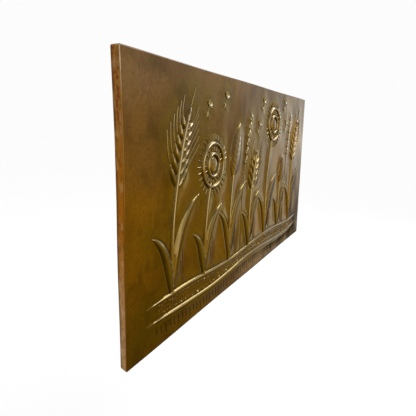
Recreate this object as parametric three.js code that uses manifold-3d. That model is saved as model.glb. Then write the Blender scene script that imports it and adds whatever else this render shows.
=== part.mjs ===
// Embossed brass wall panel: one sheet with raised grasses, folded back at its edges.
// Millimetres, +Z up. The front faces -Y and the origin is on the back of the top lip.
import * as THREE from 'three';
import { mergeVertices } from 'three/addons/utils/BufferGeometryUtils.js';
import Module from 'manifold-3d';

const wasm = await Module();
wasm.setup();

// The folded sheet
const WIDTH = 1200;
const HEIGHT = 600;
const DEPTH = 20;
const SHEET = 1.2;
const LIP = 15;
const FOLD_RADIUS = 2.5;
const CORNER_RADIUS = 4;
const ROUND_STEPS = 2;
const CUT_ROOM = 1.2;
const MERGE = 1e-4;

// How far a raised form starts below the face, so that it grows out of it
const ROOT = 0.5;

// Raised cords: the stems and the two ground lines
const CORD = { half: 4.8, top: 2.2, height: 4.5 };

// Pointed forms: the flat along the crest, the least size at the tips and how fast they fill out
const CREST_HALF = 0.6;
const TIP_HALF = 0.7;
const TIP_HEIGHT = 0.3;
const WIDTH_POWER = 0.9;
const CREST_POWER = 0.6;

// The row of plants
const PLANTS = 7;
const FIRST_PLANT = -450;
const PLANT_SPACING = 145;
const GROUND = -200;
const TALL = { rise: 385, lean: 60, grains: 6, leafage: 1 };
const SHORT = { rise: 275, lean: 40, grains: 4, leafage: 0.8 };
const STEM_BEND = 0.6;
const STEM_SWAY = -0.1;
const STEM_STEPS = 6;

// Ears of grain, in pairs with one more at the tip
const GRAIN = { length: 54, taper: 5, last: 40, half: 7, height: 5.5, swell: 0.8, steps: 2 };
const EAR = { spread: 34, pitch: 27, gap: 5, end: 10 };

// Round seed heads: a dome and two rings on a thin raised disc
const SEED_HEAD = { radius: 60, floor: 0.4, inner: 29, outer: 55, sides: 22 };
const DOME = { radius: 22, height: 4.5, shoulder: 15, shoulderHeight: 3.2 };

// Leaf heads and the blades of grass at the foot of each stem
const LEAF = { from: 0.55, overlap: 0.02, slimness: 0.4, height: 7, swell: 0.8, steps: 6 };
const BLADE = { width: 26, height: 6, swell: 0.65, bendReach: 0.15, bendRise: 0.82, steps: 5 };
const RIGHT_BLADE = { rise: 212, reach: 120 };
const LEFT_BLADE = { rise: 145, reach: -70 };

// The ground band between two wavy lines, each tapered over the first and last of its steps
const BAND = { from: -540, to: 545, top: -4, bottom: -44, wave: 6, length: 600, lag: 1.2, steps: 12 };

const { degToRad: radians, lerp } = THREE.MathUtils;

// A closed solid from a geometry
function solid(geometry) {
  const bare = geometry.clone();
  bare.deleteAttribute('normal');
  bare.deleteAttribute('uv');
  const merged = mergeVertices(bare, MERGE);
  const mesh = new wasm.Mesh({
    numProp: 3,
    vertProperties: new Float32Array(merged.attributes.position.array),
    triVerts: new Uint32Array(merged.index.array),
  });
  return new wasm.Manifold(mesh);
}

// The geometry of a finished solid
function geometryOf(body) {
  const mesh = body.getMesh();
  const geometry = new THREE.BufferGeometry();
  geometry.setAttribute('position', new THREE.BufferAttribute(mesh.vertProperties, 3));
  geometry.setIndex(new THREE.BufferAttribute(mesh.triVerts, 1));
  const loose = geometry.toNonIndexed();
  loose.computeVertexNormals();
  return loose;
}

// A raised form along a curve: at each step it is as wide and high as section(t) says
function raised(curve, steps, section) {
  const corners = [];
  for (let i = 0; i <= steps; i += 1) {
    const t = i / steps;
    const { half, top, height } = section(t);
    const point = curve.getPoint(t);
    const along = curve.getTangent(t);
    const across = new THREE.Vector2(-along.y, along.x);
    for (const [reach, level] of [[-half, -ROOT], [-top, height], [top, height], [half, -ROOT]]) {
      corners.push(point.x + across.x * reach, point.y + across.y * reach, level);
    }
  }
  const faces = [];
  const last = steps * 4;
  for (let i = 0; i < steps; i += 1) {
    for (let j = 0; j < 4; j += 1) {
      const a = i * 4 + j;
      const b = i * 4 + ((j + 1) % 4);
      faces.push(a, a + 4, b, b, a + 4, b + 4);
    }
  }
  faces.push(0, 1, 2, 0, 2, 3);
  faces.push(last, last + 2, last + 1, last, last + 3, last + 2);
  const geometry = new THREE.BufferGeometry();
  geometry.setAttribute('position', new THREE.Float32BufferAttribute(corners, 3));
  geometry.setIndex(faces);
  return solid(geometry);
}

// A cord of even section
function cord(curve, steps) {
  return raised(curve, steps, () => CORD);
}

// A pointed form with a crest along its middle, fullest where the swell puts it
function pointed(curve, steps, width, crest, swell) {
  return raised(curve, steps, (t) => {
    const full = Math.sin(Math.PI * t ** swell);
    const half = Math.max((width / 2) * full ** WIDTH_POWER, TIP_HALF);
    const height = Math.max(crest * full ** CREST_POWER, TIP_HEIGHT);
    return { half, top: Math.min(CREST_HALF, half / 2), height };
  });
}

// The stem's curve: straight up at the foot, leaning over at the top
function stemCurve(foot, size) {
  const bend = new THREE.Vector2(foot.x + STEM_SWAY * size.lean, foot.y + STEM_BEND * size.rise);
  const tip = new THREE.Vector2(foot.x + size.lean, foot.y + size.rise);
  return new THREE.QuadraticBezierCurve(foot, bend, tip);
}

// The lower part of a quadratic curve, up to t
function lowerPart(curve, t) {
  const bend = curve.v0.clone().lerp(curve.v1, t);
  return new THREE.QuadraticBezierCurve(curve.v0, bend, curve.getPoint(t));
}

// One grain
function grain(start, along, length) {
  const end = start.clone().addScaledVector(along, length);
  return pointed(new THREE.LineCurve(start, end), GRAIN.steps, 2 * GRAIN.half, GRAIN.height, GRAIN.swell);
}

// An ear: pairs of grains up the end of the stem, and one at its tip
function ear(stem, size) {
  const top = 1 - EAR.end / size.rise;
  const last = grain(stem.getPoint(top), stem.getTangent(1), GRAIN.last);
  const forms = [cord(lowerPart(stem, top), STEM_STEPS), last];
  for (let i = 0; i < size.grains; i += 1) {
    const t = 1 - ((size.grains - i) * EAR.pitch) / size.rise;
    const along = stem.getTangent(t);
    for (const side of [1, -1]) {
      const across = new THREE.Vector2(-along.y, along.x).multiplyScalar(side);
      const start = stem.getPoint(t).addScaledVector(across, EAR.gap);
      const lean = along.clone().rotateAround(new THREE.Vector2(), side * radians(EAR.spread));
      forms.push(grain(start, lean, GRAIN.length - GRAIN.taper * i));
    }
  }
  return forms;
}

// A round seed head: a low dome inside two rings
function seedHead(stem, size) {
  const { radius, floor, inner, outer, sides } = SEED_HEAD;
  const profile = [[0, DOME.height], [DOME.shoulder, DOME.shoulderHeight], [DOME.radius, floor]];
  for (const ring of [inner, outer]) {
    profile.push([ring - CORD.half, floor], [ring - CORD.top, CORD.height]);
    profile.push([ring + CORD.top, CORD.height], [ring + CORD.half, floor]);
  }
  profile.push([radius, -ROOT], [0, -ROOT]);
  const points = profile.map(([x, y]) => new THREE.Vector2(x, y)).reverse();
  const disc = new THREE.LatheGeometry(points, sides);
  disc.rotateX(Math.PI / 2);
  const middle = stem.getPoint(1);
  disc.translate(middle.x, middle.y, 0);
  return [cord(lowerPart(stem, 1 - outer / size.rise), STEM_STEPS), solid(disc)];
}

// A leaf head: one broad pointed leaf at the end of a shorter stem
function leafHead(stem) {
  const start = stem.getPoint(LEAF.from);
  const tip = stem.getPoint(1);
  const length = start.distanceTo(tip);
  const bend = start.clone().addScaledVector(stem.getTangent(LEAF.from), length / 2);
  const middle = new THREE.QuadraticBezierCurve(start, bend, tip);
  const leaf = pointed(middle, LEAF.steps, LEAF.slimness * length, LEAF.height, LEAF.swell);
  return [cord(lowerPart(stem, LEAF.from + LEAF.overlap), STEM_STEPS), leaf];
}

// A blade of grass that rises from the foot and bends over
function blade(foot, { rise, reach }, leafage) {
  const whole = new THREE.Vector2(reach, rise).multiplyScalar(leafage);
  const bend = whole.clone().multiply(new THREE.Vector2(BLADE.bendReach, BLADE.bendRise)).add(foot);
  const curve = new THREE.QuadraticBezierCurve(foot, bend, whole.add(foot));
  return pointed(curve, BLADE.steps, BLADE.width, BLADE.height, BLADE.swell);
}

// One plant: its stem, its head and its two blades
function plant(index) {
  const size = index % 2 === 0 ? TALL : SHORT;
  const foot = new THREE.Vector2(FIRST_PLANT + index * PLANT_SPACING, GROUND);
  const stem = stemCurve(foot, size);
  const heads = [ear, seedHead, leafHead];
  const forms = heads[index % heads.length](stem, size);
  for (const shape of [RIGHT_BLADE, LEFT_BLADE]) {
    forms.push(blade(foot, shape, size.leafage));
  }
  return forms;
}

// A wavy line along the ground, tapered at its ends
function groundLine(level, lag) {
  const points = [];
  for (let i = 0; i <= BAND.steps; i += 1) {
    const x = BAND.from + ((BAND.to - BAND.from) * i) / BAND.steps;
    const wave = BAND.wave * Math.sin((2 * Math.PI * x) / BAND.length + lag);
    points.push(new THREE.Vector2(x, GROUND + level + wave));
  }
  return raised(new THREE.SplineCurve(points), BAND.steps, (t) => {
    const full = Math.min(1, t * BAND.steps, (1 - t) * BAND.steps);
    return {
      half: lerp(TIP_HALF, CORD.half, full),
      top: lerp(TIP_HALF / 2, CORD.top, full),
      height: lerp(TIP_HEIGHT, CORD.height, full),
    };
  });
}

// All the raised forms, on a face at height 0
function relief() {
  const forms = [groundLine(BAND.top, 0), groundLine(BAND.bottom, BAND.lag)];
  for (let i = 0; i < PLANTS; i += 1) {
    forms.push(...plant(i));
  }
  return forms.reduce((whole, form) => whole.add(form));
}

// An oblong with rounded corners and folds, between two levels
function oblong(width, height, corner, fold, low, high) {
  const outline = new THREE.Shape();
  const x = width / 2 - corner;
  const y = height / 2 - corner;
  outline.absarc(x, y, corner, 0, Math.PI / 2);
  outline.absarc(-x, y, corner, Math.PI / 2, Math.PI);
  outline.absarc(-x, -y, corner, Math.PI, 1.5 * Math.PI);
  outline.absarc(x, -y, corner, 1.5 * Math.PI, 2 * Math.PI);
  const geometry = new THREE.ExtrudeGeometry(outline, {
    depth: high - low - 2 * fold,
    bevelEnabled: fold > 0,
    bevelThickness: fold,
    bevelSize: fold,
    bevelOffset: -fold,
    bevelSegments: ROUND_STEPS,
    curveSegments: ROUND_STEPS,
  });
  geometry.translate(0, 0, low + fold);
  return solid(geometry);
}

// The folded tray: face, sides and lip in one thickness of sheet, open at the back
function tray() {
  const outside = oblong(WIDTH, HEIGHT, CORNER_RADIUS, FOLD_RADIUS, 0, DEPTH);
  const inside = oblong(
    WIDTH - 2 * SHEET,
    HEIGHT - 2 * SHEET,
    CORNER_RADIUS - SHEET,
    FOLD_RADIUS - SHEET,
    SHEET,
    DEPTH - SHEET,
  );
  const mouth = oblong(WIDTH - 2 * LIP, HEIGHT - 2 * LIP, CORNER_RADIUS, 0, -CUT_ROOM, SHEET + CUT_ROOM);
  return outside.subtract(inside).subtract(mouth);
}

// The forms stand out at the front and are hollow behind, as beaten sheet is
function embossedSheet() {
  const forms = relief().translate([0, 0, DEPTH]);
  return tray().add(forms).subtract(forms.translate([0, 0, -SHEET]));
}

const agedBrass = new THREE.MeshStandardMaterial({ color: 0x9a7638, roughness: 0.32, metalness: 1 });
agedBrass.name = 'aged_brass';

const panel = new THREE.Mesh(geometryOf(embossedSheet()), agedBrass);
panel.name = 'brass_panel';
panel.rotation.x = Math.PI / 2;
panel.position.z = -(HEIGHT - LIP) / 2;

const part = new THREE.Group();
part.add(panel);

export default part;
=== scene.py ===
"""Embossed brass wall panel: one beaten sheet with raised grasses, folded back at its edges."""
import math
from dataclasses import dataclass

import bmesh
import bpy
import numpy as np
from mathutils import Matrix, Vector
from mathutils.geometry import delaunay_2d_cdt
from mathutils.kdtree import KDTree


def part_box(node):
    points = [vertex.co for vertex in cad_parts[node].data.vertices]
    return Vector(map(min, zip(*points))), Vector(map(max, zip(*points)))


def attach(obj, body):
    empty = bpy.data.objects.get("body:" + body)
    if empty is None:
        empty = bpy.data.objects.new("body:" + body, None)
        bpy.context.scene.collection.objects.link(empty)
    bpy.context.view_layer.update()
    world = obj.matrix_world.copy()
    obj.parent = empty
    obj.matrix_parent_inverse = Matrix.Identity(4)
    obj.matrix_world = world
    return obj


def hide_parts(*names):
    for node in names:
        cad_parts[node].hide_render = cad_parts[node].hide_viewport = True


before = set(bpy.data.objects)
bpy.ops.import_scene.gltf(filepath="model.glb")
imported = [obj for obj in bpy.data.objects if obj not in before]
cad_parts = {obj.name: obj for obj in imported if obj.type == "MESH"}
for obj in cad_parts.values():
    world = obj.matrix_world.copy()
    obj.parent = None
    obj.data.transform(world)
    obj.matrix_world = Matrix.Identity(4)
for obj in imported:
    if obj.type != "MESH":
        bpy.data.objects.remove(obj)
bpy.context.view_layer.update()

# Sizes are in millimetres on the face, measured right and up from its middle, unless a comment says metres
MM = 0.001
SEED = 7

# The folded sheet, from the solid's box in metres
PANEL_LOW, PANEL_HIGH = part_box("brass_panel")
WIDTH = (PANEL_HIGH.x - PANEL_LOW.x) / MM
HEIGHT = (PANEL_HIGH.z - PANEL_LOW.z) / MM
MIDDLE = (PANEL_HIGH.z + PANEL_LOW.z) / 2 / MM
DEPTH = 20.0
SHEET = 1.2
THINNEST = 0.6
LIP = 15.0
FOLD_RADIUS = 2.5
CORNER_RADIUS = 4.0
ROUND_STEPS = 4
SIDE_STEP = 30.0

# The middle of the face in the shared frame, in metres
FACE_MIDDLE = Vector((0, -DEPTH * MM, MIDDLE * MM))

# How the hand-folded edges stray from true: the left end aside by height, at its front fold and its back,
# the top and foot outwards, and all of them in slow waves
LEFT_HEIGHTS = (-300.0, -100.0, 30.0, 150.0, 300.0)
LEFT_FOLD = (-0.3, 0.0, 1.3, -0.6, -5.3)
LEFT_BACK = (4.8, 1.5, 1.7, -0.8, -6.1)
TOP_SPREAD = 1.4
FOOT_SPREAD = 1.9
LEAN_REACH = 60.0
EDGE_WAVER = 0.5
EDGE_WAVES = {"ends": 61.0, "edges": 83.0, "lag": 2.0}
WAVER_REACH = 40.0

# The slow unevenness of the sheet: waves with their strength, their turns across and up and their lag
SHEET_WAVER = 0.5
SHEET_WAVES = ((1.0, 5.1, 1.7, 0.6), (0.7, -3.2, 7.9, 0.0), (0.5, 11.3, 6.1, 0.0))
WAVE_LENGTH = 260.0
WAVE_FADE = 60.0

# The parts of the sides and folds that get their own colours, with painted shade on the top, foot and right
# end folds and a painted highlight near the top of the end folds: by height, from 0 at the foot to 1 at the
# top, but the shade on the folds by depth, from 0 at the front to 1 at the back
HIGH_PART = 0.6
LOW_PART = 0.48
PART_BLEND = 0.2
LEDGE_SHADE_PART = 0.35
FOLD_GLINT_PART = 0.84
FOLD_GLINT_BLEND = 0.1

# The row of plants
PLANTS = 7
FIRST_PLANT = -450.0
PLANT_SPACING = 145.0
GROUND = -200.0
STEM_BEND = 0.6
STEM_SWAY = -0.1
TALL = {"rise": 385.0, "lean": 60.0, "grains": 6, "leafage": 1.0}
SHORT = {"rise": 275.0, "lean": 40.0, "grains": 4, "leafage": 0.8}

# Raised forms, as the solid has them
CORD = {"half": 4.8, "height": 4.5}
TIP = {"half": 0.7, "height": 0.3}
WIDTH_POWER = 0.9
CREST_POWER = 0.6
GRAIN = {"length": 54.0, "taper": 5.0, "last": 40.0, "half": 7.0, "height": 5.5, "swell": 0.8}
EAR = {"spread": 34.0, "pitch": 27.0, "gap": 5.0, "end": 10.0}
SEED_HEAD = {"inner": 29.0, "outer": 55.0}
DOME = {"radius": 22.0, "height": 4.5, "line": 0.1}
LEAF = {"from": 0.55, "overlap": 0.02, "slimness": 0.4, "height": 7.0, "swell": 0.8}
BLADE = {"width": 26.0, "height": 6.0, "swell": 0.65, "bend": (0.15, 0.82)}
BLADE_REACHES = ((120.0, 212.0), (-70.0, 145.0))
BAND = {"from": -540.0, "to": 545.0, "top": -4.0, "bottom": -44.0, "wave": 6.0, "length": 600.0, "lag": 1.2}
BAND_TAPER = 90.0

# Finer raised lines that only the finished sheet has
HAIR = {"half": 1.5, "height": 1.7}
AWN = {"length": 45.0, "lower": 5.0, "start": 0.35, "spread": 3.0, "fan": 4.0}
TICKS = {"count": 20, "from": 37.0, "to": 47.0, "half": 1.8, "height": 1.8}
RAYS = {"count": 30, "from": 65.0, "to": 78.0}
STALKS = ({"foot": -72.0, "rise": 400.0, "lean": 46.0}, {"foot": 345.0, "rise": 415.0, "lean": 42.0})
STALK_SEEDS = {"count": 12, "from": 0.6, "step": 0.036, "spread": 26.0}
STALK_SEED = {"length": 17.0, "half": 3.2, "height": 3.0}
DRIFT_PLACES = (
    (-300.0, 205.0), (-205.0, 232.0), (40.0, 165.0), (75.0, 238.0), (318.0, 176.0), (300.0, 250.0),
)
DRIFT_LEAN = -28.0
DRIFT_SEED = {"length": 15.0, "half": 3.2, "height": 3.0}
DRIFT_HAIRS = {"count": 7, "neck": 15.0, "length": 17.0, "spread": 130.0}

# Fine lines, dimples and dots punched and chased into the sheet
CHASED = {"half": 1.1, "depth": 0.9}
VEINS = {"count": 7, "from": 0.14, "step": 0.1, "lean": 12.0, "reach": 0.86}
PUNCH = {"half": 1.5, "depth": 0.8, "spread": 3.4, "count": 34, "turn": 137.5}
DOT = {"half": 4.0, "height": 2.8, "least": 0.6, "most": 1.1, "jitter": 1.5, "sides": 6}
DOT_ROWS = {"spacing": 9.6, "clear": 12.0, "ends": 45.0}
STROKES = {"count": 60, "from": -505.0, "spacing": 17.0, "top": -61.0, "slant": 4.0}
STROKE_LENGTHS = (16.0, 20.0, 24.0)
TUFT = {"blades": 4, "aside": -22.0, "apart": 4.5, "foot": 8.0, "splay": 5.0}
TUFT_LENGTHS = (58.0, 86.0, 72.0)

# The lines down the crests: where they start, as a part of a grain and in steps up a blade, and how many
# steps short of the tip they stop
GRAIN_LINE = {"from_part": 0.25, "short": 2}
BLADE_LINE = {"from_step": 2, "short": 4}

# How a form meets the sheet: a crisp edge, a chased line round its foot and a soft rise of the ground,
# which is nothing past a margin and merges with its neighbours by a power
EDGE = {"rise": 1.2, "width": 0.9, "least": 0.7}
FOOT_LINE = {"depth": 0.9, "out": 1.6, "width": 1.3}
SHOULDER = {"height": 1.7, "reach": 18.0, "margin": 54.0, "merge": 4}
ROUND_POWER = 0.75

# How far out from the forms the olive tint reaches, partly a painted sheen, and how much less at the right
# end
WORKED_SHEEN_REACH = 40.0
WORKED_SHEEN_LESS = 0.6

# How closely the sheet is meshed: lines along each form by parts of its half width, lines outside it, a
# field of points between them, and a share of the face's triangles behind it
ROW_STEP = 3.5
LEAST_STEPS = 3
ROWS_ON = {"round": (0.35, 0.65, 0.88, 1.0), "roof": (0.45, 1.0), "hair": (0.55, 1.0), "cut": (1.0,)}
ROWS_BESIDE = {"round": (1.6, 4.2, 8.0), "roof": (1.6, 4.2, 8.0), "hair": (1.6, 4.4), "cut": (1.2,)}
CAP_POINTS = 3
GRID_STEP = 13.0
FINE_GRID_STEP = 7.0
FINE_GRID_REACH = 34.0
CLEAR_OF_FORMS = 10.5
CLEAR_OF_DOTS = 7.0
CLEAR_OF_EDGE = 4.0
CLOSEST = 0.5
LONGEST_JOIN = 2
BACK_SHARE = 0.3
SMOOTH_BELOW = 50.0

# For the working: how many points are taken at once, a gap wider than any between forms, the least length
# that counts, how near two points are one, and how nearly a flat face looks forwards or back
AT_ONCE = 2000
FAR = 1000.0
NO_LENGTH = 1e-12
SAME_POINT = 1e-4
SAME_LEVEL = 0.001
WELD = 0.02
SQUARE_ON = 0.999

# The way of joining points into triangles that keeps only those inside the border
INSIDE_BORDER = 1


@dataclass
class Form:
    """A form beaten up along a line on the face, or cut in where its section is a cut."""

    line: np.ndarray
    half: np.ndarray
    height: np.ndarray
    section: str


def point_on(curve, t):
    """The point at t on a curve that leaves its first point towards its second."""
    start, bend, tip = curve
    return (1 - t) ** 2 * start + 2 * t * (1 - t) * bend + t**2 * tip


def heading_on(curve, t):
    """The unit direction at t on a bent curve."""
    start, bend, tip = curve
    along = (1 - t) * (bend - start) + t * (tip - bend)
    return along / np.linalg.norm(along)


def lower_part(curve, t):
    """The part of a bent curve below t."""
    start, bend, _ = curve
    return start, start + (bend - start) * t, point_on(curve, t)


def bent(curve):
    """Points about a step apart on a bent curve."""
    start, bend, tip = curve
    span = np.linalg.norm(bend - start) + np.linalg.norm(tip - bend)
    return point_on(curve, np.linspace(0, 1, max(LEAST_STEPS, round(span / ROW_STEP)) + 1)[:, None])


def straight(start, end):
    """Points about a step apart from start to end."""
    return bent((start, (start + end) / 2, end))


def turned(direction, degrees):
    """A direction turned to the left by some degrees."""
    a = math.radians(degrees)
    x, y = direction
    return np.array([x * math.cos(a) - y * math.sin(a), x * math.sin(a) + y * math.cos(a)])


def spokes(count):
    """Unit directions evenly round a circle."""
    return [turned((1.0, 0.0), 360 * i / count) for i in range(count)]


def circle(middle, radius):
    """Points about a step apart round a circle, the last on the first."""
    a = np.linspace(0, 2 * math.pi, round(2 * math.pi * radius / ROW_STEP) + 1)
    return middle + radius * np.column_stack((np.cos(a), np.sin(a)))


def even(line, half, height, section):
    """A form of even width and height."""
    return Form(line, np.full(len(line), half), np.full(len(line), height), section)


def cord(line):
    """A round raised cord."""
    return even(line, CORD["half"], CORD["height"], "round")


def hair(line):
    """A fine raised line."""
    return even(line, HAIR["half"], HAIR["height"], "hair")


def chased(line):
    """A fine line cut into the face."""
    return even(line, CHASED["half"], -CHASED["depth"], "cut")


def pointed(line, width, crest, swell):
    """A pointed form with a crest along its middle, fullest where the swell puts it."""
    full = np.clip(np.sin(math.pi * np.linspace(0, 1, len(line)) ** swell), 0, 1)
    half = np.maximum(width / 2 * full**WIDTH_POWER, TIP["half"])
    height = np.maximum(crest * full**CREST_POWER, TIP["height"])
    return Form(line, half, height, "roof")


def plant_size(index):
    """Tall and short plants by turns."""
    return SHORT if index % 2 else TALL


def stem_curve(foot, size):
    """A stem that rises straight and leans over at the top."""
    bend = foot + (STEM_SWAY * size["lean"], STEM_BEND * size["rise"])
    return foot, bend, foot + (size["lean"], size["rise"])


def plant_stem(index):
    """The stem of one plant in the row."""
    return stem_curve(np.array([FIRST_PLANT + index * PLANT_SPACING, GROUND]), plant_size(index))


def grain(start, way, length, fan, awn_length):
    """A grain with a line chased down its crest, and the long hair that runs on from its tip."""
    tip = start + way * length
    line = straight(start, tip)
    bend = tip + way * awn_length * AWN["start"]
    awn = bent((tip, bend, bend + fan * awn_length * (1 - AWN["start"])))
    body = pointed(line, 2 * GRAIN["half"], GRAIN["height"], GRAIN["swell"])
    first = int(GRAIN_LINE["from_part"] * len(line))
    return [body, chased(line[first : -GRAIN_LINE["short"]]), hair(awn)]


def ear(stem, size):
    """Pairs of grains up the end of the stem, and one at its tip."""
    top = 1 - EAR["end"] / size["rise"]
    axis = heading_on(stem, 1)
    forms = [cord(bent(lower_part(stem, top)))]
    forms += grain(point_on(stem, top), axis, GRAIN["last"], axis, AWN["length"])
    for i in range(size["grains"]):
        below = size["grains"] - 1 - i
        t = 1 - (below + 1) * EAR["pitch"] / size["rise"]
        along = heading_on(stem, t)
        for side in (1, -1):
            start = point_on(stem, t) + turned(along, side * 90) * EAR["gap"]
            way = turned(along, side * EAR["spread"])
            fan = turned(axis, side * (AWN["spread"] + AWN["fan"] * below))
            awn_length = AWN["length"] + AWN["lower"] * below
            forms += grain(start, way, GRAIN["length"] - GRAIN["taper"] * i, fan, awn_length)
    return forms


def seed_head(stem, size):
    """A dome inside two rings, with short ribs between them and fine rays outside."""
    outer, inner = SEED_HEAD["outer"], SEED_HEAD["inner"]
    middle = point_on(stem, 1)
    forms = [cord(bent(lower_part(stem, 1 - outer / size["rise"])))]
    forms += [cord(circle(middle, radius)) for radius in (inner, outer)]
    # A dome is a round form along a line too short to show
    line = np.array([middle, middle + (DOME["line"], 0)])
    forms.append(even(line, DOME["radius"], DOME["height"], "round"))
    for way in spokes(TICKS["count"]):
        line = straight(middle + way * TICKS["from"], middle + way * TICKS["to"])
        forms.append(even(line, TICKS["half"], TICKS["height"], "hair"))
    for way in spokes(RAYS["count"]):
        forms.append(hair(straight(middle + way * RAYS["from"], middle + way * RAYS["to"])))
    return forms


def leaf_head(stem, size):
    """A broad pointed leaf at the end of a shorter stem, with chased veins."""
    start, tip = point_on(stem, LEAF["from"]), point_on(stem, 1)
    length = np.linalg.norm(tip - start)
    middle = (start, start + heading_on(stem, LEAF["from"]) * length / 2, tip)
    leaf = pointed(bent(middle), LEAF["slimness"] * length, LEAF["height"], LEAF["swell"])
    forms = [cord(bent(lower_part(stem, LEAF["from"] + LEAF["overlap"]))), leaf]
    for i in range(VEINS["count"]):
        t = VEINS["from"] + VEINS["step"] * i
        along = heading_on(middle, t)
        stations = np.linspace(0, 1, len(leaf.half))
        reach = VEINS["reach"] * np.interp(t + VEINS["lean"] / length, stations, leaf.half)
        for side in (1, -1):
            end = point_on(middle, t) + along * VEINS["lean"] + turned(along, side * 90) * reach
            forms.append(chased(straight(point_on(middle, t), end)))
    return forms


def blade(foot, reach):
    """A blade of grass that rises from the foot and bends over, with a line down its crest."""
    line = bent((foot, foot + reach * BLADE["bend"], foot + reach))
    body = pointed(line, BLADE["width"], BLADE["height"], BLADE["swell"])
    return [body, chased(line[BLADE_LINE["from_step"] : -BLADE_LINE["short"]])]


def head_of(index):
    """Ears, seed heads and leaves by turns."""
    heads = (ear, seed_head, leaf_head)
    return heads[index % len(heads)]


def plant(index):
    """One plant: its stem, its head and its two blades."""
    size, stem = plant_size(index), plant_stem(index)
    forms = head_of(index)(stem, size)
    for reach in BLADE_REACHES:
        forms += blade(stem[0], np.array(reach) * size["leafage"])
    return forms


def small_seed(start, way, shape):
    """A small pointed seed."""
    line = straight(start, start + way * shape["length"])
    return pointed(line, 2 * shape["half"], shape["height"], GRAIN["swell"])


def stalk(shape):
    """A thin stalk of wild grass with seeds by turns up its sides."""
    curve = stem_curve(np.array([shape["foot"], GROUND]), shape)
    forms = [hair(bent(curve))]
    for i in range(STALK_SEEDS["count"]):
        t = STALK_SEEDS["from"] + STALK_SEEDS["step"] * i
        side = -1 if i % 2 else 1
        way = turned(heading_on(curve, t), side * STALK_SEEDS["spread"])
        forms.append(small_seed(point_on(curve, t) + way * HAIR["half"], way, STALK_SEED))
    return forms


def drifting_seed(place):
    """A seed with a tuft of hairs, carried by the wind."""
    up = turned((0.0, 1.0), DRIFT_LEAN)
    neck = place + up * DRIFT_HAIRS["neck"]
    forms = [small_seed(place, -up, DRIFT_SEED), hair(straight(place, neck))]
    for i in range(DRIFT_HAIRS["count"]):
        way = turned(up, DRIFT_HAIRS["spread"] * (i / (DRIFT_HAIRS["count"] - 1) - 0.5))
        forms.append(hair(straight(neck + way * 2 * HAIR["half"], neck + way * DRIFT_HAIRS["length"])))
    return forms


def ground_level(x, line, lag):
    """How high a wavy ground line lies at x."""
    return GROUND + line + BAND["wave"] * np.sin(2 * math.pi * x / BAND["length"] + lag)


def ground_line(line, lag):
    """A wavy line along the ground, tapered at its ends."""
    x = np.linspace(BAND["from"], BAND["to"], round((BAND["to"] - BAND["from"]) / ROW_STEP) + 1)
    full = np.clip(np.minimum(x - BAND["from"], BAND["to"] - x) / BAND_TAPER, 0, 1)
    half, height = (TIP[size] + (CORD[size] - TIP[size]) * full for size in ("half", "height"))
    return Form(np.column_stack((x, ground_level(x, line, lag))), half, height, "round")


def ground_strokes():
    """Short chased strokes below the ground band, in three lengths."""
    forms = []
    for i in range(STROKES["count"]):
        x = STROKES["from"] + STROKES["spacing"] * i
        top = np.array([x, ground_level(x, STROKES["top"], BAND["lag"])])
        length = STROKE_LENGTHS[i % len(STROKE_LENGTHS)]
        forms.append(chased(straight(top, top + (STROKES["slant"], -length))))
    return forms


def grass_tuft(index):
    """Slender blades chased into the sheet to the right of a plant, fanned out, in three lengths."""
    forms = []
    middle = FIRST_PLANT + (index + 0.5) * PLANT_SPACING + TUFT["aside"]
    for i in range(TUFT["blades"]):
        place = i - (TUFT["blades"] - 1) / 2
        x = middle + TUFT["apart"] * place
        foot = np.array([x, ground_level(x, BAND["top"], 0.0) + TUFT["foot"]])
        half = TUFT_LENGTHS[i % len(TUFT_LENGTHS)] / 2
        bend = foot + turned((0.0, half), -TUFT["splay"] * place / 2)
        tip = bend + turned((0.0, half), -TUFT["splay"] * place)
        forms.append(chased(bent((foot, bend, tip))))
    return forms


def all_forms():
    """Everything that is beaten up or chased along a line."""
    forms = [ground_line(BAND["top"], 0.0), ground_line(BAND["bottom"], BAND["lag"])]
    for i in range(PLANTS):
        forms += plant(i)
    for i in range(PLANTS - 1):
        forms += grass_tuft(i)
    for shape in STALKS:
        forms += stalk(shape)
    for place in DRIFT_PLACES:
        forms += drifting_seed(np.array(place))
    return forms + ground_strokes()


def stippled_dots(random):
    """Middles, half widths and heights of the punched dots: the ground band's rows and the spirals of
    dimples on the seed heads' domes."""
    dots = []
    for x in np.arange(BAND["from"] + DOT_ROWS["ends"], BAND["to"] - DOT_ROWS["ends"], DOT_ROWS["spacing"]):
        top = ground_level(x, BAND["top"], 0.0) - DOT_ROWS["clear"]
        bottom = ground_level(x, BAND["bottom"], BAND["lag"]) + DOT_ROWS["clear"]
        rows = max(1, round((top - bottom) / DOT_ROWS["spacing"]))
        for row in range(rows + 1):
            aside, along = random.uniform(-DOT["jitter"], DOT["jitter"], 2)
            height = DOT["height"] * random.uniform(DOT["least"], DOT["most"])
            y = top + (bottom - top) * row / rows
            dots.append((x + aside, y + along, DOT["half"], height))
    seed_heads = [index for index in range(PLANTS) if head_of(index) is seed_head]
    for index in seed_heads:
        middle = point_on(plant_stem(index), 1)
        for k in range(PUNCH["count"]):
            x, y = middle + turned((1.0, 0.0), PUNCH["turn"] * k) * PUNCH["spread"] * math.sqrt(k)
            dots.append((x, y, PUNCH["half"], -PUNCH["depth"]))
    return np.array(dots)


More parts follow.
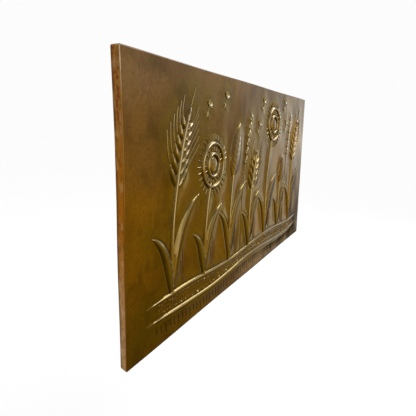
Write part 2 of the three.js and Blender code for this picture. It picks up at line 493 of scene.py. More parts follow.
def rows_along(form):
    """Lines for the mesh to follow: a form's middle line, the lines on it and those beside it, each with
    whether it lies beside the form."""
    closed = np.allclose(form.line[0], form.line[-1])
    before, after = (form.line[-2], form.line[1]) if closed else (form.line[0], form.line[-1])
    along = np.gradient(np.vstack((before, form.line, after)), axis=0)[1:-1]
    along /= np.linalg.norm(along, axis=1)[:, None]
    across = np.column_stack((-along[:, 1], along[:, 0]))
    reaches = [(form.half * share, False) for share in ROWS_ON[form.section]]
    if form.section == "roof":
        reaches.insert(1, (np.maximum(form.half - EDGE["width"], EDGE["least"] * form.half), False))
    reaches += [(form.half + out, True) for out in ROWS_BESIDE[form.section]]
    rows = [(form.line, False)]
    for reach, beside in reaches:
        left, right = (form.line + side * across * reach[:, None] for side in (1, -1))
        if closed:
            rows += [(left, beside), (right, beside)]
            continue
        caps = []
        for end, way in ((-1, along[-1]), (0, -along[0])):
            count = max(CAP_POINTS, round(math.pi * reach[end] / ROW_STEP) - 1)
            angles = np.linspace(90, -90, count + 2)[1:-1]
            caps.append([form.line[end] + turned(way, angle) * reach[end] for angle in angles])
        rows.append((np.vstack((left, caps[0], right[::-1], caps[1], left[:1])), beside))
    return rows


def off_line(line, points):
    """How far along a line, from 0 to 1, each point is, and how far off it."""
    start, step = line[:-1], np.diff(line, axis=0)
    along, off = [], []
    for some in np.array_split(points, len(points) // AT_ONCE + 1):
        offset = some[:, None, :] - start
        t = np.clip((offset * step).sum(2) / np.maximum((step**2).sum(1), NO_LENGTH), 0, 1)
        gap = np.linalg.norm(offset - t[..., None] * step, axis=2)
        nearest = gap.argmin(1)
        each = np.arange(len(some))
        along.append((nearest + t[each, nearest]) / len(step))
        off.append(gap[each, nearest])
    return np.concatenate(along), np.concatenate(off)


def profile(form, gap, half, height):
    """How high a form stands at a gap from its middle line."""
    across = np.clip(gap / half, 0, 1)
    if form.section == "roof":
        edge = np.minimum(EDGE["rise"], height / 2)
        return edge * np.clip((half - gap) / EDGE["width"], 0, 1) + (height - edge) * (1 - across)
    return height * (1 - across**2) ** ROUND_POWER


def beaten(points, forms):
    """What the forms make of the face at each point: its height, how near a crest and how deep in a cut
    it is, how clear of the forms, how high the hollow behind is, and which form is on top or nearest."""
    names = ("rise", "crest", "foot_line", "cut", "shoulder", "hollow")
    at = {name: np.zeros(len(points)) for name in names}
    at["clear"] = np.full(len(points), FAR)
    at["top"], at["nearest"] = np.full(len(points), -1), np.full(len(points), -1)
    for index, form in enumerate(forms):
        margin = form.half.max() + SHOULDER["margin"]
        low, high = form.line.min(0) - margin, form.line.max(0) + margin
        near = np.flatnonzero(((points > low) & (points < high)).all(1))
        if not len(near):
            continue
        along, gap = off_line(form.line, points[near])
        stations = np.linspace(0, 1, len(form.line))
        half, height = np.interp(along, stations, form.half), np.interp(along, stations, form.height)
        up = profile(form, gap, half, height)
        if form.section == "cut":
            at["cut"][near] = np.minimum(at["cut"][near], up)
            continue
        higher = near[up > at["rise"][near]]
        at["top"][higher] = index
        closer = near[gap - half < at["clear"][near]]
        at["nearest"][closer] = index
        at["rise"][near] = np.maximum(at["rise"][near], up)
        at["crest"][near] = np.maximum(at["crest"][near], up / height)
        at["clear"][near] = np.minimum(at["clear"][near], gap - half)
        share = np.minimum(1, height / CORD["height"])
        outside = np.maximum(gap - half, 0)
        at["shoulder"][near] += (share * np.exp(-((outside / SHOULDER["reach"]) ** 2))) ** SHOULDER["merge"]
        line = np.exp(-(((gap - half - FOOT_LINE["out"]) / FOOT_LINE["width"]) ** 2))
        at["foot_line"][near] = np.maximum(at["foot_line"][near], line * share)
        if form.section != "hair":
            inner = profile(form, gap, np.maximum(half - SHEET, half / 2), height)
            at["hollow"][near] = np.maximum(at["hollow"][near], inner)
    at["foot_line"] *= np.clip(1 - at["rise"] / (FOOT_LINE["depth"] / 2), 0, 1)
    shoulder = SHOULDER["height"] * np.minimum(at["shoulder"], 1) ** (1 / SHOULDER["merge"])
    at["height"] = shoulder + at["rise"] + at["cut"] - FOOT_LINE["depth"] * at["foot_line"]
    at["hollow"] = np.minimum(shoulder + at["hollow"], at["height"] + SHEET - THINNEST)
    at["sunk"] = np.clip(at["foot_line"] - at["cut"] / CHASED["depth"], 0, 1)
    return at


def ground_grid(step):
    """An even field of points over the whole face."""
    rows = np.arange(-HEIGHT / 2, HEIGHT / 2, step * math.sqrt(3) / 2)
    field = []
    for i, y in enumerate(rows):
        x = np.arange(-WIDTH / 2 + step / 2 * (i % 2), WIDTH / 2, step)
        field.append(np.column_stack((x, np.full(len(x), y))))
    return np.vstack(field)


def tree_of(points):
    """A search tree of points on the face."""
    tree = KDTree(len(points))
    for i, (x, y) in enumerate(points):
        tree.insert((x, y, 0), i)
    tree.balance()
    return tree


def gap_to(points, others):
    """How far each point is from the nearest of some others."""
    tree = tree_of(others)
    return np.array([tree.find((x, y, 0))[2] for x, y in points])


def spaced_out(points, gap):
    """Which points to keep, so that each is at least a gap from those kept before it."""
    tree = tree_of(points)
    kept = np.ones(len(points), bool)
    for i, (x, y) in enumerate(points):
        if kept[i]:
            for _, j, _ in tree.find_range((x, y, 0), gap):
                if j > i:
                    kept[j] = False
    return kept


def slow_wave(points):
    """The slow unevenness of hand-worked sheet, nothing at the folds."""
    x, y = points[:, 0] / WAVE_LENGTH, points[:, 1] / WAVE_LENGTH
    wave = sum(strength * np.sin(across * x + up * y + lag) for strength, across, up, lag in SHEET_WAVES)
    from_edge = (np.array([WIDTH, HEIGHT]) / 2 - np.abs(points)).min(1)
    return SHEET_WAVER * wave * np.clip((from_edge - FOLD_RADIUS) / WAVE_FADE, 0, 1)


def set_attribute(mesh, name, values):
    """A number for each point of a mesh, which its material reads."""
    mesh.attributes.new(name, "FLOAT", "POINT")
    mesh.attributes[name].data.foreach_set("value", np.asarray(values, np.float32))


def points_on_lines(forms):
    """The points of the lines along the forms, the number of each one's line and its place in the order. A
    point is left out where another form covers it or lies nearer."""
    rows = [(line, beside, i) for i, form in enumerate(forms) for line, beside in rows_along(form)]
    lengths = [len(line) for line, _, _ in rows]
    points = np.vstack([line for line, _, _ in rows])
    row = np.repeat(np.arange(len(rows)), lengths)
    beside = np.repeat([beside for _, beside, _ in rows], lengths)
    owner = np.repeat([i for _, _, i in rows], lengths)
    cut = np.repeat([forms[i].section == "cut" for _, _, i in rows], lengths)
    at = beaten(points, forms)
    on_top = (at["top"] == owner) | (at["top"] == -1)
    seen = np.flatnonzero(cut | (on_top & (~beside | (at["nearest"] == owner))))
    return points[seen], row[seen], seen


def points_on_ground(forms, dots):
    """Points over the ground, clear of the forms and the dots, and closer together near the forms."""
    fields = []
    near, away = (FINE_GRID_STEP, CLEAR_OF_FORMS, FINE_GRID_REACH), (GRID_STEP, FINE_GRID_REACH, FAR)
    for step, low, high in (near, away):
        field = ground_grid(step)
        clear = beaten(field, forms)["clear"]
        free = gap_to(field, dots[:, :2]) > CLEAR_OF_DOTS
        fields.append(field[(clear > low) & (clear <= high) & free])
    return np.vstack(fields)


def face_points(forms, dots):
    """The points of the face inside its border, the heights that the dots add to them, and the pairs of
    points that an edge has to join."""
    way = np.array(spokes(DOT["sides"]))
    rims = np.vstack([dot[:2] + way * dot[2] for dot in dots])
    lines, row, order = points_on_lines(forms)
    ground = points_on_ground(forms, dots)
    points = np.vstack((dots[:, :2], rims, lines, ground))
    others = (len(dots) + len(rims), len(ground))
    row = np.pad(row, others, constant_values=-1)
    order = np.pad(order, others)
    extra = np.pad(dots[:, 3], (0, len(points) - len(dots)))
    limit = np.array([WIDTH, HEIGHT]) / 2 - FOLD_RADIUS - CLEAR_OF_EDGE
    kept = spaced_out(points, CLOSEST) & (np.abs(points) < limit).all(1)
    points, row, order, extra = points[kept], row[kept], order[kept], extra[kept]
    first = np.flatnonzero((row[1:] == row[:-1]) & (row[1:] >= 0) & (np.diff(order) <= LONGEST_JOIN))
    return points, extra, np.column_stack((first, first + 1))


def embossed_face(border):
    """The beaten face inside its border. Lines this fine can't be drawn by edit operators, so its
    points are laid along every line and joined into triangles, and then raised."""
    forms = all_forms()
    points, extra, pairs = face_points(forms, stippled_dots(np.random.default_rng(SEED)))
    count = len(border)
    edges = [(i, (i + 1) % count) for i in range(count)] + (pairs + count).tolist()
    flat = [Vector(point) for point in np.vstack((border, points))]
    corners, _, faces, sources, _, _ = delaunay_2d_cdt(flat, edges, [], INSIDE_BORDER, SAME_POINT)
    extra = np.concatenate((np.zeros(count), extra))
    extra = np.array([extra[source[0]] if source else 0.0 for source in sources])
    points = np.array(corners)
    at = beaten(points, forms)
    wave = slow_wave(points)
    front = -DEPTH - at["height"] - extra - wave
    places = np.column_stack((points[:, 0], front, points[:, 1] + MIDDLE)) * MM
    mesh = bpy.data.meshes.new("face")
    mesh.from_pydata(places.tolist(), [], faces)
    raised = [form for form in forms if form.section != "cut"]
    away = gap_to(points, np.vstack([form.line for form in raised]))
    set_attribute(mesh, "crest", np.maximum(at["crest"], extra / DOT["height"]))
    set_attribute(mesh, "sunk", np.maximum(at["sunk"], -extra / PUNCH["depth"]))
    to_right = np.clip(points[:, 0] / WIDTH + 0.5, 0, 1)
    # Olive tint round the forms, partly a painted sheen, weaker towards the right end
    set_attribute(mesh, "worked_sheen", np.exp(-away / WORKED_SHEEN_REACH) * (1 - WORKED_SHEEN_LESS * to_right))
    set_attribute(mesh, "hollow", at["hollow"] + wave)
    face = bpy.data.objects.new("face", mesh)
    bpy.context.collection.objects.link(face)
    return face


def choose(obj, edges=None, faces=None):
    """Selects the edges or faces that pass a test, in edit mode."""
    work = bmesh.from_edit_mesh(obj.data)
    bpy.ops.mesh.select_all(action="DESELECT")
    for item in work.edges if edges else work.faces:
        if (edges or faces)(item):
            item.select_set(True)
    bmesh.update_edit_mesh(obj.data)


def level(edge):
    """True if an edge lies in a plane of the front or back."""
    a, b = (v.co.y for v in edge.verts)
    return abs(a - b) < SAME_LEVEL * MM


def folded_sides():
    """The sides and the lip: a box with its corners and folds rounded, open at the front and the back."""
    bpy.ops.object.select_all(action="DESELECT")
    bpy.ops.mesh.primitive_cube_add(size=1, location=(0, -DEPTH / 2 * MM, MIDDLE * MM))
    sides = bpy.context.object
    sides.scale = (WIDTH * MM, DEPTH * MM, HEIGHT * MM)
    bpy.ops.object.transform_apply(location=True, rotation=True, scale=True)
    bpy.ops.object.mode_set(mode="EDIT")
    bpy.ops.mesh.select_mode(type="EDGE")
    choose(sides, edges=lambda e: not level(e))
    bpy.ops.mesh.bevel(offset=CORNER_RADIUS * MM, segments=ROUND_STEPS, affect="EDGES")
    choose(sides, edges=level)
    bpy.ops.mesh.bevel(offset=FOLD_RADIUS * MM, segments=ROUND_STEPS, affect="EDGES")
    for axis, size, middle in (((1, 0, 0), WIDTH, 0.0), ((0, 0, 1), HEIGHT, MIDDLE)):
        count = round(size / SIDE_STEP)
        cuts = [size * (i / count - 0.5) for i in range(1, count)] + [LIP - size / 2, size / 2 - LIP]
        for cut in cuts:
            bpy.ops.mesh.select_all(action="SELECT")
            bpy.ops.mesh.bisect(plane_co=Vector(axis) * (cut + middle) * MM, plane_no=axis)
    bpy.ops.mesh.select_mode(type="FACE")

    def in_front(face):
        """True on the flat front, which the beaten face takes over."""
        return face.normal.y < -SQUARE_ON

    def in_mouth(face):
        """True inside the lip, where the back is open."""
        place = face.calc_center_median() / MM
        reach = Vector((abs(place.x) - WIDTH / 2, abs(place.z - MIDDLE) - HEIGHT / 2))
        return face.normal.y > SQUARE_ON and max(reach) < -LIP

    choose(sides, faces=lambda f: in_front(f) or in_mouth(f))
    bpy.ops.mesh.delete(type="FACE")
    bpy.ops.object.mode_set(mode="OBJECT")
    return sides


def front_border(sides):
    """The sides' open front edge, as points on the face in order."""
    work = bmesh.new()
    work.from_mesh(sides.data)
    start = next(v for v in work.verts if v.is_boundary and v.co.y < (SAME_LEVEL - DEPTH) * MM)
    loop, vert, edge = [], start, None
    while vert is not start or not loop:
        loop.append((vert.co.x / MM, vert.co.z / MM - MIDDLE))
        edge = next(e for e in vert.link_edges if e.is_boundary and e is not edge)
        vert = edge.other_vert(vert)
    work.free()
    return np.array(loop)


def read_places(mesh):
    """The places of a mesh's points in millimetres."""
    places = np.empty(len(mesh.vertices) * 3)
    mesh.vertices.foreach_get("co", places)
    return places.reshape(-1, 3) / MM


def write_places(mesh, places):
    """Moves a mesh's points to places in millimetres."""
    mesh.vertices.foreach_set("co", (places * MM).ravel())
    mesh.update()


def round_fold(past):
    """How far round a fold, from 0 on the face to 1 on the side, by how far past the edge a point is."""
    return np.clip(past / FOLD_RADIUS + 1, 0, 1)


def mark_sides(mesh):
    """Marks the parts of the sides and folds that get their own colours, painted shade and a painted
    highlight among them.
    """
    places = read_places(mesh)
    x, z = places[:, 0], places[:, 2] - MIDDLE
    back, up = np.clip(places[:, 1] / DEPTH + 1, 0, 1), z / HEIGHT + 0.5
    past_end, past_edge = np.abs(x) - WIDTH / 2, np.abs(z) - HEIGHT / 2
    side = round_fold(np.maximum(past_end, past_edge))
    ledge_shade = round_fold(np.maximum(past_edge, x - WIDTH / 2))
    end = round_fold(past_end)
    # 1 half way round the front fold of an end, and 0 on the face and on the side
    half_round = 4 * end * (1 - end) * (back < 0.5)
    set_attribute(mesh, "side", side)
    set_attribute(mesh, "side_high", side * np.clip((up - HIGH_PART) / PART_BLEND, 0, 1))
    set_attribute(mesh, "side_low", side * np.clip((LOW_PART - up) / PART_BLEND, 0, 1))
    set_attribute(mesh, "back_edge", side * back)
    # Painted shade on the top, foot and right end folds, strongest at the front
    set_attribute(mesh, "ledge_shade", ledge_shade * np.clip(1 - back / LEDGE_SHADE_PART, 0, 1))
    # Painted highlight: a pale glint half way round the front fold of the ends, near the top only
    set_attribute(mesh, "fold_glint", half_round * np.clip((up - FOLD_GLINT_PART) / FOLD_GLINT_BLEND, 0, 1))


def bend_by_hand(mesh):
    """Moves the folds a little out of true, as a hand bender leaves them."""
    places = read_places(mesh)
    x, z = places[:, 0], places[:, 2] - MIDDLE
    back = np.clip(places[:, 1] / DEPTH + 1, 0, 1)
    fold, rear = (np.interp(z, LEFT_HEIGHTS, stray) for stray in (LEFT_FOLD, LEFT_BACK))
    near_left = np.clip(1 - (x + WIDTH / 2) / LEAN_REACH, 0, 1)
    near_ends = np.clip(1 - (WIDTH / 2 - np.abs(x)) / WAVER_REACH, 0, 1)
    near_edges = np.clip(1 - (HEIGHT / 2 - np.abs(z)) / WAVER_REACH, 0, 1)
    aside = (fold + (rear - fold) * back) * near_left
    spread = np.where(z > 0, TOP_SPREAD, -FOOT_SPREAD)
    places[:, 0] += aside + EDGE_WAVER * near_ends * np.sin(z / EDGE_WAVES["ends"] + np.sign(x))
    wave = np.sin(places[:, 0] / EDGE_WAVES["edges"] + EDGE_WAVES["lag"] * np.sign(z))
    places[:, 2] += near_edges * (spread + EDGE_WAVER * wave)
    write_places(mesh, places)


def soft_back(mesh, front_points):
    """Gives the back of the face the soft hollows that beating leaves behind the raised forms, and
    returns the points that lie there."""
    places = read_places(mesh)
    hollow = np.empty(len(places), np.float32)
    mesh.attributes["hollow"].data.foreach_get("value", hollow)
    mesh.attributes.remove(mesh.attributes["hollow"])
    front = places[:front_points]
    limit = np.array([WIDTH, HEIGHT]) / 2 - FOLD_RADIUS - CLEAR_OF_EDGE / 2
    on_face = (np.abs(front[:, (0, 2)] - (0, MIDDLE)) < limit).all(1) & (front[:, 1] < -DEPTH / 2)
    behind = np.flatnonzero(on_face) + front_points
    places[behind] = front[on_face]
    places[behind, 1] = SHEET - DEPTH - hollow[:front_points][on_face]
    write_places(mesh, places)
    return behind


def joined(face, sides):
    """The face and the sides as one mesh, welded along the front border."""
    bpy.ops.object.select_all(action="DESELECT")
    face.select_set(True)
    sides.select_set(True)
    bpy.context.view_layer.objects.active = face
    bpy.ops.object.join()
    panel = bpy.context.object
    panel.name = panel.data.name = "panel"
    bpy.ops.object.mode_set(mode="EDIT")
    bpy.ops.mesh.select_all(action="SELECT")
    bpy.ops.mesh.remove_doubles(threshold=WELD * MM)
    bpy.ops.object.mode_set(mode="OBJECT")
    return panel


def apply_modifier(panel, name, kind, **settings):
    """Adds a modifier with its settings and applies it."""
    modifier = panel.modifiers.new(name, kind)
    for setting, value in settings.items():
        setattr(modifier, setting, value)
    bpy.ops.object.modifier_apply(modifier=name)


def thicken(panel):
    """Gives the sheet its thickness behind the front, and returns the points behind the face."""
    front_points = len(panel.data.vertices)
    apply_modifier(panel, "sheet", "SOLIDIFY", thickness=SHEET * MM, offset=-1)
    set_attribute(panel.data, "behind", np.arange(len(panel.data.vertices)) >= front_points)
    return soft_back(panel.data, front_points)


def thin_out(panel, points, face_triangles):
    """Thins the mesh at the points behind the face to a share of the face's triangles."""
    back = panel.vertex_groups.new(name="back")
    back.add(points.tolist(), 1.0, "REPLACE")
    panel.data.calc_loop_triangles()
    ratio = 1 - (1 - BACK_SHARE) * face_triangles / len(panel.data.loop_triangles)
    how = {"vertex_group": back.name, "ratio": ratio, "use_collapse_triangulate": True}
    apply_modifier(panel, "plainer_back", "DECIMATE", **how)
    panel.vertex_groups.clear()


def brass_panel():
    """The whole panel: the beaten face joined to its folded sides, in one thickness of sheet."""
    sides = folded_sides()
    face = embossed_face(front_border(sides))
    face_triangles = len(face.data.polygons)
    panel = joined(face, sides)
    mark_sides(panel.data)
    bend_by_hand(panel.data)
    thin_out(panel, thicken(panel), face_triangles)
    bpy.ops.object.shade_smooth_by_angle(angle=math.radians(SMOOTH_BELOW))
    apply_modifier(panel, "even_shading", "WEIGHTED_NORMAL", mode="FACE_AREA", keep_sharp=True)
    return panel


# The sockets of a mix node that take and give colours
MIX_UNDER = 6
MIX_OVER = 7
MIX_RESULT = 2


def linear(hex_colour):
    """A colour with alpha, from sRGB hex such as b08a4e to linear light."""
    parts = [int(hex_colour[i : i + 2], 16) / 255 for i in (0, 2, 4)]
    return (*(c / 12.92 if c <= 0.04045 else ((c + 0.055) / 1.055) ** 2.4 for c in parts), 1.0)


def add_node(tree, kind, inputs=None, **settings):
    """Adds a node with its settings, and its inputs as values or as links from other sockets."""
    node = tree.nodes.new(kind)
    for name, value in settings.items():
        setattr(node, name, value)
    for name, value in (inputs or {}).items():
        if isinstance(value, bpy.types.NodeSocket):
            tree.links.new(value, node.inputs[name])
        else:
            node.inputs[name].default_value = value
    return node


# Sizes of the marks on the brass in millimetres, across, through and up, and how finely each is broken up.
# Brushing, speckle and grain are finer on real sheet, and are drawn as coarse as they need to be to show
BRASS_MARKS = {
    "clouds": ((170, 170, 260), 3.0),
    "stains": ((44, 44, 56), 3.0),
    "smudges": ((42, 42, 90), 4.0),
    "blush": ((230, 230, 160), 2.0),
    "brushing": ((3.5, 3.5, 220), 2.0),
    "freckles": ((9, 9, 12), 4.0),
    "speckle": ((4.5, 4.5, 5.5), 2.0),
    "grain": ((1.6, 1.6, 1.6), 2.0),
    "oxide": ((5, 5, 6.5), 4.0),
    "smears": ((7, 7, 26), 3.0),
    "dents": ((60, 60, 110), 1.0),
}

# Places on the panel that its mesh marks, and marks that show only in such a place
BRASS_PLACES = (
    "crest", "sunk", "worked_sheen", "side", "side_high", "side_low", "back_edge", "ledge_shade", "fold_glint", "behind",
)
MARKS_IN_PLACES = {
    "rust": ("side", "oxide"),
    "more_rust": ("side_high", "oxide"),
    "mottling": ("side", "freckles"),
    "scuffs": ("side", "smears"),
    "painted_fold_glint": ("fold_glint", "smears"),
}

# Colours laid over the bare brass, each with the mark that it follows, where that mark starts to show and
# shows in full, and how much it then covers
BARE_BRASS = "c29a55"
BRASS_COLOURS = (
    ("clouds", 0.38, 0.62, 1.0, "9c763c"),
    ("blush", 0.5, 0.75, 0.35, "a87c62"),
    # Olive round the forms: partly a tint of beaten sheet, partly a painted sheen where the ground rises to
    # them
    ("worked_sheen", 0.15, 0.7, 0.96, "a68e18"),
    ("stains", 0.48, 0.7, 0.6, "77601e"),
    ("smudges", 0.5, 0.72, 0.4, "7c5a2c"),
    ("brushing", 0.45, 0.8, 0.12, "d2a866"),
    ("speckle", 0.3, 0.8, 0.35, "6a4c20"),
    ("freckles", 0.62, 0.78, 0.35, "5d3f1e"),
    # Paler on the crests: partly worn pale and partly a painted highlight
    ("crest", 0.3, 0.9, 0.85, "dccaa0"),
    ("sunk", 0.1, 0.8, 0.9, "33200d"),
    ("side", 0.0, 0.4, 0.9, "b47c10"),
    ("side_low", 0.0, 1.0, 0.85, "b8945e"),
    ("side_high", 0.0, 1.0, 0.7, "b08c54"),
    ("back_edge", 0.55, 0.9, 0.8, "4a300e"),
    # Painted shade: dark on the top, foot and right end folds
    ("ledge_shade", 0.05, 0.5, 0.9, "3a2812"),
    ("mottling", 0.5, 0.66, 0.45, "70481c"),
    ("rust", 0.6, 0.68, 0.7, "7e4424"),
    ("more_rust", 0.49, 0.59, 0.75, "8a4228"),
    ("scuffs", 0.5, 0.66, 0.5, "d6c0b0"),
    # Painted highlight: a pale glint on the end folds near the top
    ("painted_fold_glint", 0.12, 0.36, 0.9, "e8dac6"),
    ("behind", 0.0, 1.0, 0.8, "77603c"),
)

# What each mark adds to the roughness of the brass
BRASS_ROUGHNESS = (
    ("brushing", 0.3, 0.7, 0.03),
    ("clouds", 0.3, 0.7, 0.04),
    ("smudges", 0.5, 0.72, 0.05),
    ("sunk", 0.1, 0.8, 0.15),
    ("side", 0.0, 0.3, 0.2),
    ("ledge_shade", 0.05, 0.5, 0.25),
    ("painted_fold_glint", 0.3, 0.6, -0.15),
    ("behind", 0.0, 1.0, 0.2),
)

# The roughness under the marks, the depths of the grain and the dents, and the lacquer over all
POLISH = 0.1
GRAIN_DEPTH = 0.03
DENT_DEPTH = 2.2
LACQUER = {"Coat Weight": 1.0, "Coat Roughness": 0.12}


def aged_brass():
    """Rolled brass sheet, beaten, brushed upright, lacquered and left to brown: satin, paler on the raised
    lines, partly with wear and partly as a painted highlight, dark in the chased ones, olive round the
    forms, partly as a painted sheen, mottled with rust on its sides, with painted shade on the top, foot
    and right end folds and a painted highlight near the top of the end folds."""
    material = bpy.data.materials.new("aged_brass")
    material.use_nodes = True
    tree = material.node_tree
    tree.nodes.clear()
    place = add_node(tree, "ShaderNodeTexCoord").outputs["Object"]
    marks = {}
    for name, (size, detail) in BRASS_MARKS.items():
        scale = [1 / (length * MM) for length in size]
        laid = add_node(tree, "ShaderNodeMapping", {"Vector": place, "Scale": scale})
        noise = {"Vector": laid.outputs["Vector"], "Scale": 1.0, "Detail": detail}
        marks[name] = add_node(tree, "ShaderNodeTexNoise", noise).outputs["Fac"]
    for name in BRASS_PLACES:
        marks[name] = add_node(tree, "ShaderNodeAttribute", attribute_name=name).outputs["Fac"]
    for name, (where, mark) in MARKS_IN_PLACES.items():
        both = {0: marks[where], 1: marks[mark]}
        marks[name] = add_node(tree, "ShaderNodeMath", both, operation="MULTIPLY").outputs["Value"]

    colour = linear(BARE_BRASS)
    for name, low, high, cover, tone in BRASS_COLOURS:
        span = {"Value": marks[name], "From Min": low, "From Max": high, "To Max": cover}
        share = add_node(tree, "ShaderNodeMapRange", span, interpolation_type="SMOOTHSTEP")
        layers = {"Factor": share.outputs["Result"], MIX_UNDER: colour, MIX_OVER: linear(tone)}
        colour = add_node(tree, "ShaderNodeMix", layers, data_type="RGBA").outputs[MIX_RESULT]

    rough = POLISH
    for name, low, high, more in BRASS_ROUGHNESS:
        span = {"Value": marks[name], "From Min": low, "From Max": high, "To Max": more}
        share = add_node(tree, "ShaderNodeMapRange", span, interpolation_type="SMOOTHSTEP")
        both = {0: rough, 1: share.outputs["Result"]}
        rough = add_node(tree, "ShaderNodeMath", both, operation="ADD").outputs["Value"]

    normal = None
    for name, depth in (("grain", GRAIN_DEPTH), ("dents", DENT_DEPTH)):
        bump = {"Height": marks[name], "Strength": 1.0, "Distance": depth * MM}
        if normal:
            bump["Normal"] = normal
        normal = add_node(tree, "ShaderNodeBump", bump).outputs["Normal"]

    finish = {"Base Color": colour, "Metallic": 1.0, "Roughness": rough, "Normal": normal}
    shader = add_node(tree, "ShaderNodeBsdfPrincipled", {**finish, **LACQUER})
    add_node(tree, "ShaderNodeOutputMaterial", {"Surface": shader.outputs["BSDF"]})
    return material


# What the brass mirrors, from the floor, at -1, up to the ceiling, at 1. Turning from the front to the
# wall it hangs on, the room goes from amber through grey to a pale end, and the wall is light
ROOM_TONES = (
    {
        -1.0: "544310", -0.55: "6c5a16", -0.4: "8a6e1a", -0.2: "9c8028",
        0.0: "927e58", 0.15: "a49a90", 1.0: "928e88",
    },
    {-1.0: "5a5048", -0.4: "7c6c56", -0.3: "b0a48e", -0.2: "c8c0ac", 0.1: "a8a298", 1.0: "bab6b2"},
    {
        -1.0: "14100e", -0.26: "14100e", -0.13: "74706e", -0.03: "e8e8e4",
        0.1: "c4c4c0", 0.4: "b8b4b0", 1.0: "c8c4c0",
    },
    {-1.0: "d0c4b4", -0.5: "ccb89c", -0.25: "c49c4c", 0.0: "b89a60", 1.0: "c8c0b4"},
)
ROOM_TURNS = ((-0.43, -0.365), (-0.29, -0.25), (0.0, 0.3))
PAPER_WHITE = 0.975

# The floor in metres, and the lamps: place from the middle of the face and size in metres, then brightness
# and colour
FLOOR_SIZE = 60.0
FLOOR_DROP = 0.7
LAMPS = {
    "lamp_over": ((1.8, -1.1, 1.9), (2.4, 1.2), 2.3, "f8f6ff"),
    "lamp_front": ((-0.4, -2.4, 0.4), (1.6, 2.0), 0.6, "fbf6f0"),
}


def room():
    """The surroundings: plain white to look at, and in the brass a room with a warm floor."""
    world = bpy.data.worlds.new("room")
    bpy.context.scene.world = world
    world.use_nodes = True
    tree = world.node_tree
    tree.nodes.clear()
    way = add_node(tree, "ShaderNodeTexCoord").outputs["Generated"]
    part = add_node(tree, "ShaderNodeSeparateXYZ", {"Vector": way}).outputs
    height = add_node(tree, "ShaderNodeMapRange", {"Value": part["Z"], "From Min": -1.0, "From Max": 1.0})
    ramps = []
    for tones in ROOM_TONES:
        ramp = add_node(tree, "ShaderNodeValToRGB", {"Fac": height.outputs["Result"]})
        # A new ramp has its first and last stops, and keeps its stops in order
        stops = ramp.color_ramp.elements
        for place in list(tones)[1:-1]:
            stops.new((place + 1) / 2)
        for stop, tone in zip(stops, tones.values()):
            stop.color = linear(tone)
        ramps.append(ramp.outputs["Color"])
    colour = ramps[0]
    for next_tones, (start, end) in zip(ramps[1:], ROOM_TURNS):
        span = {"Value": part["Y"], "From Min": start, "From Max": end}
        turned_to = add_node(tree, "ShaderNodeMapRange", span, interpolation_type="SMOOTHSTEP")
        layers = {"Factor": turned_to.outputs["Result"], MIX_UNDER: colour, MIX_OVER: next_tones}
        colour = add_node(tree, "ShaderNodeMix", layers, data_type="RGBA").outputs[MIX_RESULT]
    seen = add_node(tree, "ShaderNodeBackground", {"Strength": PAPER_WHITE, "Color": (1, 1, 1, 1)})
    mirrored = add_node(tree, "ShaderNodeBackground", {"Strength": 1.0, "Color": colour})
    glossy = add_node(tree, "ShaderNodeLightPath").outputs["Is Glossy Ray"]
    both = {0: glossy, 1: seen.outputs["Background"], 2: mirrored.outputs["Background"]}
    mixed = add_node(tree, "ShaderNodeMixShader", both)
    add_node(tree, "ShaderNodeOutputWorld", {"Surface": mixed.outputs["Shader"]})


def white_paper():
    """Matt white paper for the floor, which throws no mirror image."""
    material = bpy.data.materials.new("white_paper")
    material.use_nodes = True
    tree = material.node_tree
    tree.nodes.clear()
    shader = add_node(tree, "ShaderNodeBsdfDiffuse", {"Color": (1, 1, 1, 1)})
    add_node(tree, "ShaderNodeOutputMaterial", {"Surface": shader.outputs["BSDF"]})
    return material


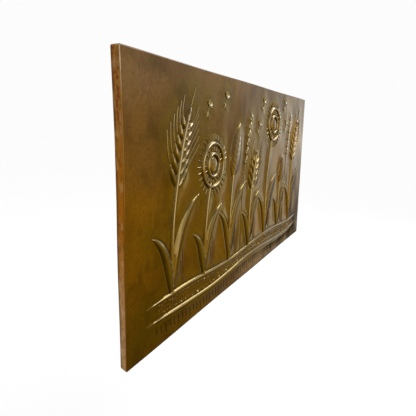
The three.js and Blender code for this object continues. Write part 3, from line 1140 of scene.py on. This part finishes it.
def soft_lamp(name, place, size, brightness, colour):
    """A soft oblong lamp that faces the middle of the panel's front."""
    lamp = bpy.data.lights.new(name, "AREA")
    lamp.shape = "RECTANGLE"
    lamp.size, lamp.size_y = size
    lamp.energy = brightness * math.pi * size[0] * size[1]
    lamp.color = linear(colour)[:3]
    obj = bpy.data.objects.new(name, lamp)
    bpy.context.collection.objects.link(obj)
    obj.location = FACE_MIDDLE + Vector(place)
    obj.rotation_euler = (-Vector(place)).to_track_quat("-Z", "Y").to_euler()
    obj.visible_camera = False


def studio():
    """A pale floor well below the panel, the room that it mirrors and two soft lamps."""
    bpy.ops.object.select_all(action="DESELECT")
    bpy.ops.mesh.primitive_plane_add(size=FLOOR_SIZE, location=(0, 0, PANEL_LOW.z - FLOOR_DROP))
    floor = bpy.context.object
    floor.name = "floor"
    floor.visible_glossy = False
    floor.data.materials.append(white_paper())
    room()
    for name, lamp in LAMPS.items():
        soft_lamp(name, *lamp)


# The camera, worked out from the panel's corners in the picture, in metres from the middle of its face,
# with the lens in pixels of the picture
CAMERA_PLACE = Vector((-1.0943, -0.4371, 0.1670))
CAMERA_FORWARD = Vector((0.8663, 0.4695, -0.1707))
CAMERA_ROLL = 1.363
PICTURE = 416.0
FOCAL_PIXELS = 370.4
AXIS_ABOVE_MIDDLE = 15.5
SENSOR = 36.0
NEAREST = 0.01


def picture_camera():
    """The camera at the picture's viewing angle, low and close to the panel's left end."""
    lens = bpy.data.cameras.new("camera")
    lens.sensor_width = SENSOR
    lens.lens = FOCAL_PIXELS / PICTURE * SENSOR
    lens.shift_y = -AXIS_ABOVE_MIDDLE / PICTURE
    lens.clip_start = NEAREST
    camera = bpy.data.objects.new("camera", lens)
    bpy.context.collection.objects.link(camera)
    forward = CAMERA_FORWARD.normalized()
    right = forward.cross(Vector((0, 0, 1))).normalized()
    up = right.cross(forward)
    roll = math.radians(CAMERA_ROLL)
    right, up = right * math.cos(roll) + up * math.sin(roll), up * math.cos(roll) - right * math.sin(roll)
    turn = Matrix((right, up, -forward)).transposed().to_4x4()
    camera.matrix_world = Matrix.Translation(FACE_MIDDLE + CAMERA_PLACE) @ turn
    bpy.context.scene.camera = camera


panel = brass_panel()
panel.data.materials.clear()
panel.data.materials.append(aged_brass())
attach(panel, "root")
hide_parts("brass_panel")
studio()
picture_camera()
bpy.context.scene.view_settings.view_transform = "Standard"
